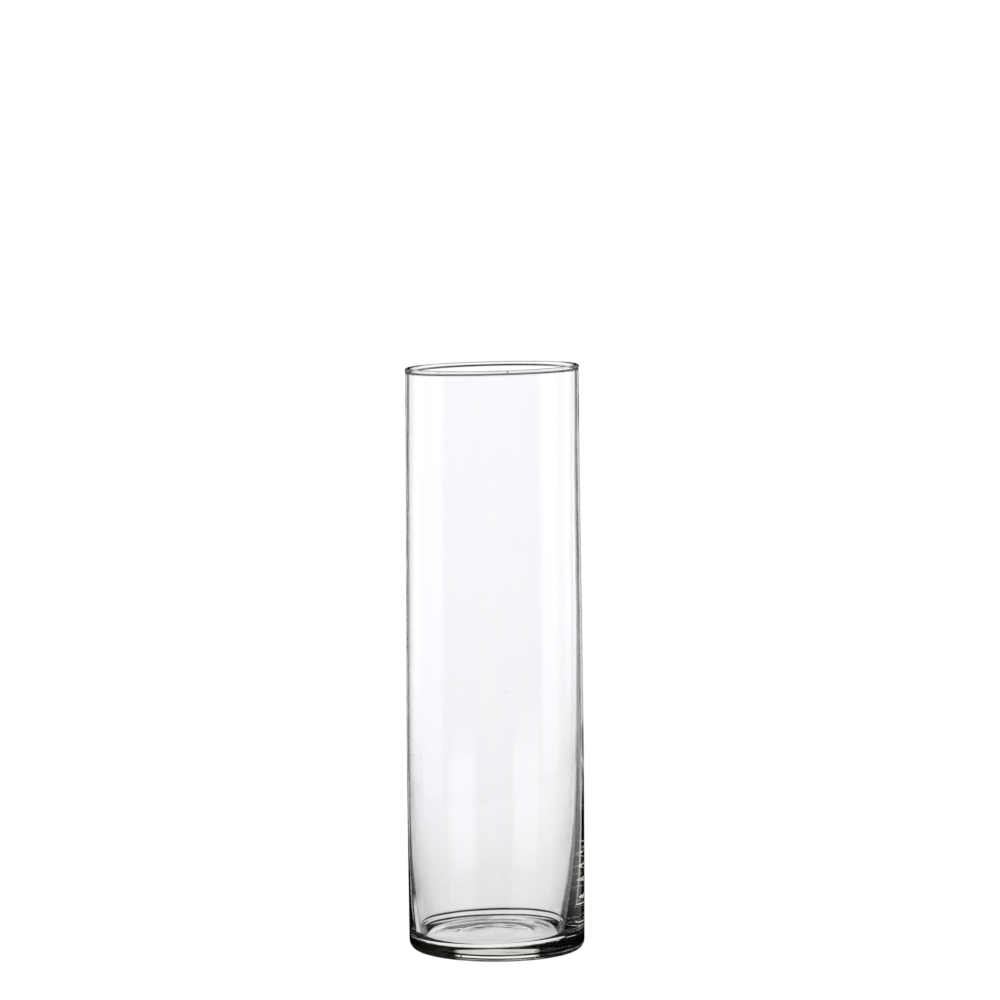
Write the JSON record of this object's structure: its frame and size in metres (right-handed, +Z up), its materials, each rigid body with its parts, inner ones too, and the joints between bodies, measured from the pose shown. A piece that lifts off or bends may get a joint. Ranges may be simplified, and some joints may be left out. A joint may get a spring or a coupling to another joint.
{
  "type": "glass cylinder vase",
  "caption": "Tall clear glass cylinder vase, open at the top, with a thick floor, a rounded heel, a wall that thickens downwards and a fire-polished lip bead.",
  "frame": {"origin": "middle of the plane that the vase stands on, at the lowest point of its foot ring", "axes": "+Z up along the vase's axis towards the open top; the vase is round, so +X and +Y are free"},
  "size_m": [0.091, 0.091, 0.3],
  "materials": {
    "clear_glass": "clear, fire-polished, very slightly green-yellow in the thick floor"
  },
  "bodies": {
    "root": {"glass_vase": "clear_glass"}
  },
  "joints": []
}
